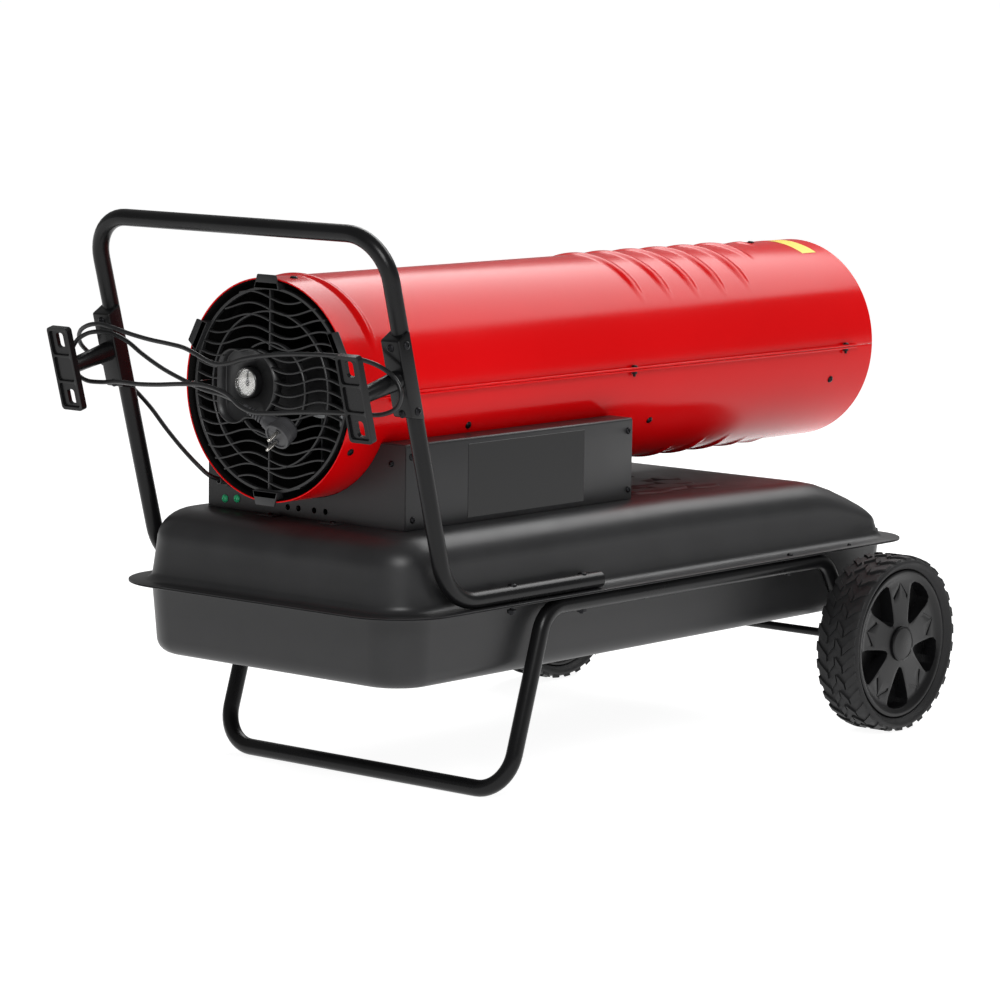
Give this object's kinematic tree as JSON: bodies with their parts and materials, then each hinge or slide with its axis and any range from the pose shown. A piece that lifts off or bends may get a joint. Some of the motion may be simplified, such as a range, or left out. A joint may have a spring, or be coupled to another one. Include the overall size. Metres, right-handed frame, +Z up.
{
  "type": "forced air heater",
  "caption": "Wheeled direct-fired forced air heater: red barrel with fan and burner over a pressed fuel tank, with tube handle, cord hooks and plug.",
  "frame": {"origin": "on the ground, under the middle of the bounding box of everything but the free cord, its plug and the plug sleeve", "axes": "+X along the barrel from the air intake to the hot outlet, +Y to the left-hand side as seen from the handle, +Z up"},
  "size_m": [1.2778, 0.694, 0.7593],
  "materials": {
    "upper_shell": "gloss red enamel on pressed sheet steel",
    "lower_shell": "gloss red enamel on pressed sheet steel",
    "fan_guard": "moulded black plastic",
    "motor_housing": "satin black enamel",
    "motor_bracket": "zinc-plated sheet steel",
    "motor_shaft": "ground steel",
    "fan_blade": "pressed aluminium",
    "pump_body": "cast and machined",
    "pump_rotor": "carbon-filled rotor, modelled as steel",
    "pump_end_cover": "cast and machined",
    "air_filter_cover": "moulded black plastic",
    "pressure_gauge": "black case",
    "gauge_needle": "red needle",
    "gauge_lens": "clear lens",
    "combustion_chamber": "heat-resisting sheet steel",
    "swirl_plate": "sheet steel",
    "burner_head": "machined aluminium",
    "fuel_nozzle": "turned brass",
    "ignition_electrodes": "white ceramic",
    "flame_sensor": "black plastic holder",
    "chamber_bracket_front": "sheet steel",
    "chamber_bracket_rear": "sheet steel",
    "flame_baffle": "sheet steel",
    "tank_upper": "satin charcoal powder coat",
    "tank_lower": "satin charcoal powder coat",
    "drain_plug": "zinc-plated steel",
    "filler_strainer": "fine wire mesh, modelled as a thin cup",
    "filler_gasket": "black rubber",
    "filler_cap": "moulded black plastic",
    "level_gauge_body": "moulded black plastic",
    "level_pointer": "red pointer",
    "level_lens": "clear lens",
    "level_float": "foam float on a wire arm",
    "base_box": "satin charcoal powder coat",
    "side_cover_right": "satin charcoal powder coat",
    "side_cover_left": "satin charcoal powder coat",
    "switch_housing": "moulded black plastic",
    "power_switch": "moulded black plastic",
    "thermostat_knob": "moulded black plastic",
    "display_window": "clear window",
    "control_board": "green circuit board",
    "ignition_transformer": "potted black block",
    "air_hose": "black hose",
    "fuel_hose": "black hose",
    "fuel_pickup": "plated steel tube and filter",
    "handle_tube": "semi-gloss black powder coat",
    "undercarriage_frame": "semi-gloss black powder coat",
    "axle": "zinc-plated steel",
    "wheel_rim_right": "moulded black plastic",
    "wheel_rim_left": "moulded black plastic",
    "tyre_right": "matt rubber",
    "tyre_left": "matt rubber",
    "hub_cap_right": "moulded black plastic",
    "hub_cap_left": "moulded black plastic",
    "cord_hook_right": "moulded black plastic",
    "cord_hook_left": "moulded black plastic",
    "cord_gland": "moulded black plastic",
    "cord_plug": "moulded black plastic with plated pins",
    "plug_sleeve": "soft black sleeve",
    "power_cord": "black rubber jacket"
  },
  "bodies": {
    "heater": {"upper_shell": "upper_shell", "lower_shell": "lower_shell", "fan_guard": "fan_guard", "motor_housing": "motor_housing", "motor_bracket": "motor_bracket", "pump_body": "pump_body", "pump_end_cover": "pump_end_cover", "air_filter_cover": "air_filter_cover", "pressure_gauge": "pressure_gauge", "gauge_lens": "gauge_lens", "combustion_chamber": "combustion_chamber", "swirl_plate": "swirl_plate", "burner_head": "burner_head", "fuel_nozzle": "fuel_nozzle", "ignition_electrodes": "ignition_electrodes", "flame_sensor": "flame_sensor", "chamber_bracket_front": "chamber_bracket_front", "chamber_bracket_rear": "chamber_bracket_rear", "flame_baffle": "flame_baffle", "tank_upper": "tank_upper", "tank_lower": "tank_lower", "drain_plug": "drain_plug", "filler_strainer": "filler_strainer", "level_gauge_body": "level_gauge_body", "level_lens": "level_lens", "base_box": "base_box", "side_cover_right": "side_cover_right", "side_cover_left": "side_cover_left", "switch_housing": "switch_housing", "display_window": "display_window", "control_board": "control_board", "ignition_transformer": "ignition_transformer", "air_hose": "air_hose", "fuel_hose": "fuel_hose", "fuel_pickup": "fuel_pickup", "handle_tube": "handle_tube", "undercarriage_frame": "undercarriage_frame", "axle": "axle", "cord_hook_right": "cord_hook_right", "cord_hook_left": "cord_hook_left", "cord_gland": "cord_gland", "cord_plug": "cord_plug", "plug_sleeve": "plug_sleeve", "power_cord": "power_cord"},
    "fan_rotor": {"motor_shaft": "motor_shaft", "fan_blade": "fan_blade", "pump_rotor": "pump_rotor"},
    "wheel_right": {"wheel_rim_right": "wheel_rim_right", "tyre_right": "tyre_right", "hub_cap_right": "hub_cap_right"},
    "wheel_left": {"wheel_rim_left": "wheel_rim_left", "tyre_left": "tyre_left", "hub_cap_left": "hub_cap_left"},
    "gauge_needle": {"gauge_needle": "gauge_needle"},
    "power_switch": {"power_switch": "power_switch"},
    "thermostat_knob": {"thermostat_knob": "thermostat_knob"},
    "filler_gasket": {"filler_gasket": "filler_gasket"},
    "filler_cap": {"filler_cap": "filler_cap"},
    "level_float": {"level_float": "level_float"},
    "level_pointer": {"level_pointer": "level_pointer"}
  },
  "joints": [
    {"name": "fan_spin", "type": "hinge", "parent": "heater", "child": "fan_rotor", "pos_m": [-0.20614, 0, 0.5323], "axis": [1, 0, 0], "continuous": true},
    {"name": "wheel_right_spin", "type": "hinge", "parent": "heater", "child": "wheel_right", "pos_m": [0.45386, -0.312, 0.127], "axis": [0, 1, 0], "continuous": true},
    {"name": "wheel_left_spin", "type": "hinge", "parent": "heater", "child": "wheel_left", "pos_m": [0.45386, 0.312, 0.127], "axis": [0, 1, 0], "continuous": true},
    {"name": "gauge_needle_turn", "type": "hinge", "parent": "heater", "child": "gauge_needle", "pos_m": [-0.49634, 0.046, 0.5383], "axis": [1, 0, 0], "range_deg": [-135, 135]},
    {"name": "power_switch_rock", "type": "hinge", "parent": "heater", "child": "power_switch", "pos_m": [-0.33814, 0.1768, 0.4206], "axis": [0, 0, 1], "range_deg": [0, 18]},
    {"name": "thermostat_turn", "type": "hinge", "parent": "heater", "child": "thermostat_knob", "pos_m": [-0.25814, 0.1838, 0.4186], "axis": [0, 1, 0], "range_deg": [-135, 135]},
    {"name": "filler_gasket_lift", "type": "slide", "parent": "heater", "child": "filler_gasket", "axis": [0, 0, 1], "range_m": [0, 0.06]},
    {"name": "filler_cap_turn", "type": "hinge", "parent": "filler_gasket", "child": "filler_cap", "pos_m": [0.15186, 0.15, 0.365], "axis": [0, 0, 1], "range_deg": [0, 90]},
    {"name": "level_float_swing", "type": "hinge", "parent": "heater", "child": "level_float", "pos_m": [0.33186, 0.15, 0.31124], "axis": [0, 1, 0], "range_deg": [-50, 8]},
    {"name": "level_pointer_turn", "type": "hinge", "parent": "heater", "child": "level_pointer", "pos_m": [0.33186, 0.15, 0.36454], "axis": [0, 0, 1], "range_deg": [-150, 24]}
  ],
  "couplings": [
    {"joint": "level_pointer_turn", "follows": "level_float_swing", "ratio": 3}
  ]
}
